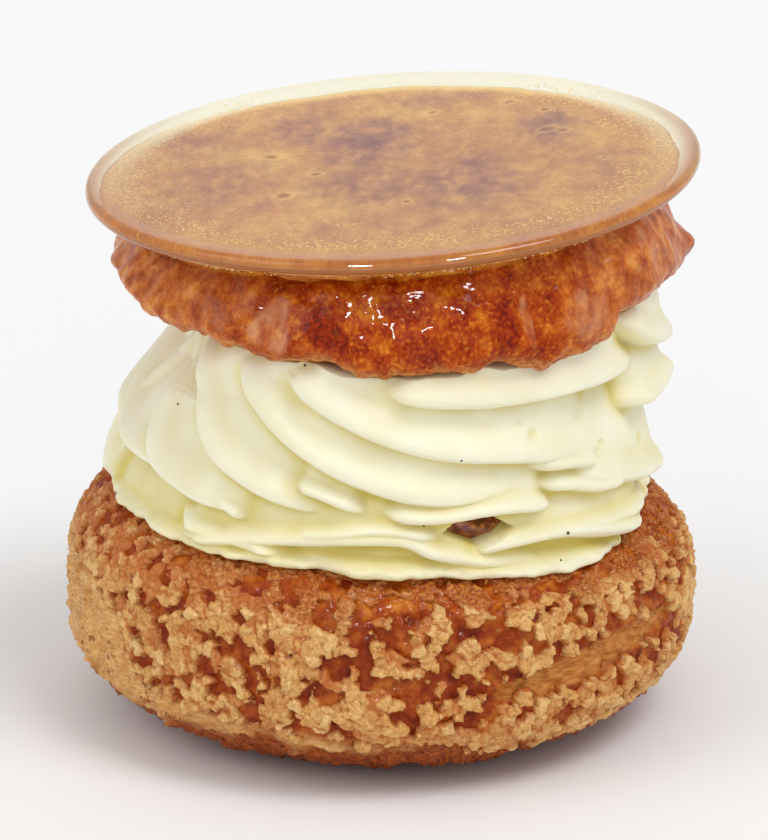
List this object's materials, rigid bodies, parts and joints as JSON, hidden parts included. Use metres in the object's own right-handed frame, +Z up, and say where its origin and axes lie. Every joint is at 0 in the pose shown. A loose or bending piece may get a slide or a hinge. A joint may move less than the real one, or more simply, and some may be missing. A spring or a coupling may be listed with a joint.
{
  "type": "cream puff",
  "caption": "Split cream puff: squat choux bun with a crumbly crust, tall piped vanilla cream with a piece of nut, caramel-dipped lid and a clear caramel disc on top",
  "frame": {"origin": "on the resting surface, under the middle of the whole puff's bounding box", "axes": "+Z up, +X to the right and -Y towards the viewer of the shown side, where the piece of nut is"},
  "size_m": [0.0758, 0.0744, 0.0706],
  "materials": {
    "crust": "baked choux with a crumbly, lightly glossy sugar crust",
    "cream": "smooth satin whipped vanilla cream",
    "nut": "caramelised nut, glossy",
    "glazed_crust": "bumpy baked crust under glossy caramel",
    "caramel": "clear amber boiled sugar, glossy"
  },
  "bodies": {
    "root": {"bun_base": "crust", "cream": "cream", "nut_piece": "nut", "bun_lid": "glazed_crust", "caramel_disc": "caramel"}
  },
  "joints": []
}
